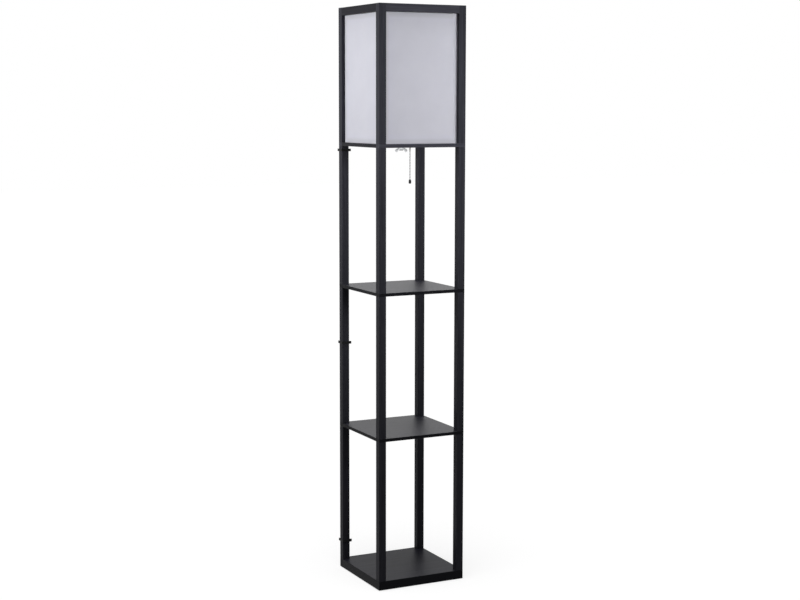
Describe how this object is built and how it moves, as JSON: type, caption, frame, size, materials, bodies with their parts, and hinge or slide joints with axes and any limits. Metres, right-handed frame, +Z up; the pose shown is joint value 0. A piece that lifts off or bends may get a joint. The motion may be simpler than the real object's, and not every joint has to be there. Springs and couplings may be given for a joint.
{
  "type": "shelf floor lamp",
  "caption": "Tall square floor lamp with open shelves between black corner poles and a white-panelled box shade on top, switched by a pull chain.",
  "frame": {"origin": "on the floor under the middle of the base", "axes": "+Z up; -Y is the front, the wider side in the picture; -X is the side seen at the left; the cable clips are on the back left pole"},
  "size_m": [0.2634, 0.2703, 1.6],
  "materials": {
    "black_laminate": "satin black foil on fibreboard",
    "black_felt": "matte felt",
    "dark_steel": "satin",
    "zinc_steel": "satin zinc",
    "beech": "matte",
    "white_panel": "matte translucent white",
    "white_strip": "matte",
    "black_nylon": "satin",
    "black_phenolic": "gloss",
    "steatite": "matte",
    "brass": "satin",
    "nickel": "polished",
    "white_plastic": "satin",
    "opal": "satin opal",
    "black_lacquer": "gloss"
  },
  "bodies": {
    "frame": {"bar_washer": "zinc_steel", "base_board": "black_laminate", "base_bolts": "dark_steel", "bulb_cap": "nickel", "bulb_collar": "white_plastic", "bulb_dome": "opal", "cable_clips": "black_nylon", "centre_contact": "brass", "chain_guide": "nickel", "contact_block": "steatite", "contact_wheel": "white_plastic", "dowels": "beech", "felt_pads": "black_felt", "holder_base": "black_phenolic", "holder_skirt": "black_phenolic", "lamp_bar": "black_laminate", "lever_pin": "nickel", "lever_spring": "brass", "lower_pole_back_left": "black_laminate", "lower_pole_back_right": "black_laminate", "lower_pole_front_left": "black_laminate", "lower_pole_front_right": "black_laminate", "lower_shelf": "black_laminate", "middle_pole_back_left": "black_laminate", "middle_pole_back_right": "black_laminate", "middle_pole_front_left": "black_laminate", "middle_pole_front_right": "black_laminate", "nipple_bush": "black_nylon", "panel_strips": "white_strip", "pole_inserts": "zinc_steel", "pole_studs": "zinc_steel", "screw_shell": "brass", "shade_frame_back": "black_laminate", "shade_frame_front": "black_laminate", "shade_frame_left": "black_laminate", "shade_frame_right": "black_laminate", "shade_panel_back": "white_panel", "shade_panel_front": "white_panel", "shade_panel_left": "white_panel", "shade_panel_right": "white_panel", "shade_post_back_left": "black_laminate", "shade_post_back_right": "black_laminate", "shade_post_front_left": "black_laminate", "shade_post_front_right": "black_laminate", "threaded_nipple": "zinc_steel", "top_rail_back": "black_laminate", "top_rail_front": "black_laminate", "top_rail_left": "black_laminate", "top_rail_right": "black_laminate", "upper_pole_back_left": "black_laminate", "upper_pole_back_right": "black_laminate", "upper_pole_front_left": "black_laminate", "upper_pole_front_right": "black_laminate", "upper_shelf": "black_laminate", "wing_nut": "zinc_steel"},
    "lever": {"switch_lever": "nickel"},
    "stub": {"chain_stub": "nickel"},
    "coupling": {"chain_coupling": "nickel"},
    "pull_chain": {"bead_chain": "nickel", "chain_bell": "black_lacquer"}
  },
  "joints": [
    {"name": "chain_pull", "type": "slide", "parent": "frame", "child": "stub", "axis": [0, 0, -1], "range_m": [0, 0.009], "stiffness_N_per_m": 600, "springref_m": -0.004},
    {"name": "lever_turn", "type": "hinge", "parent": "frame", "child": "lever", "pos_m": [0.013, 0, 1.239], "axis": [0, 1, 0], "range_deg": [0, 35.5], "deforming": ["lever_spring"]},
    {"name": "chain_swing_front_back", "type": "hinge", "parent": "stub", "child": "coupling", "pos_m": [0.0271, 0, 1.21352], "axis": [1, 0, 0], "range_deg": [-18, 18]},
    {"name": "chain_swing_side", "type": "hinge", "parent": "coupling", "child": "pull_chain", "pos_m": [0.0271, 0, 1.20752], "axis": [0, 1, 0], "range_deg": [-18, 18]}
  ],
  "couplings": [
    {"joint": "lever_turn", "follows": "chain_pull", "rad_per_m": 68.651}
  ]
}
